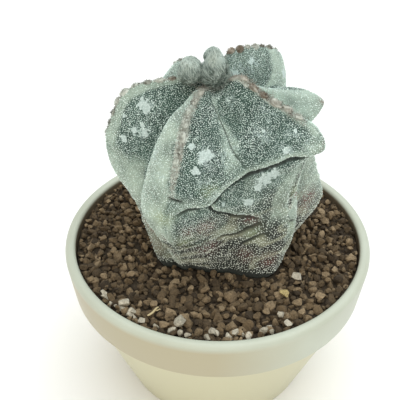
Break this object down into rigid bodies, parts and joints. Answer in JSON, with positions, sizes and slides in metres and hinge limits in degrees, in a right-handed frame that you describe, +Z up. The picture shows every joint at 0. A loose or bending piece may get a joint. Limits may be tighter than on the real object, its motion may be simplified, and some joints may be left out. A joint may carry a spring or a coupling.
{
  "type": "potted bishop's cap cactus",
  "caption": "Squat star-ribbed spineless cactus with flecked skin and woolly buds, rooted in mineral grit in a round tapered nursery pot with a deep collar.",
  "frame": {"origin": "middle of the pot's foot, on the pot's axis", "axes": "+Z up along the pot's axis, -Y towards the front, +X to the right"},
  "size_m": [0.115, 0.115, 0.1416],
  "materials": {
    "pot": "satin cream polypropylene",
    "grit": "dry crushed lava grit",
    "stem": "matt grey-green skin with white flecks",
    "wool": "grey-white wool",
    "pumice": "pale porous stone",
    "lava": "dark porous stone",
    "straw": "dry straw"
  },
  "bodies": {
    "root": {"pot": "pot", "substrate": "grit", "cactus_stem": "stem", "bud_front": "wool", "bud_left": "wool", "bud_rear": "wool", "pumice_01": "pumice", "pumice_02": "pumice", "pumice_03": "pumice", "pumice_04": "pumice", "pumice_05": "pumice", "pumice_06": "pumice", "pumice_07": "pumice", "pumice_08": "pumice", "pumice_09": "pumice", "pumice_10": "pumice", "lava_01": "lava", "lava_02": "lava", "lava_03": "lava", "lava_04": "lava", "lava_05": "lava", "lava_06": "lava", "lava_07": "lava", "lava_08": "lava", "lava_09": "lava", "lava_10": "lava", "lava_11": "lava", "lava_12": "lava", "lava_13": "lava", "lava_14": "lava", "lava_15": "lava", "lava_16": "lava", "lava_17": "lava", "lava_18": "lava", "straw_splinter": "straw"}
  },
  "joints": []
}
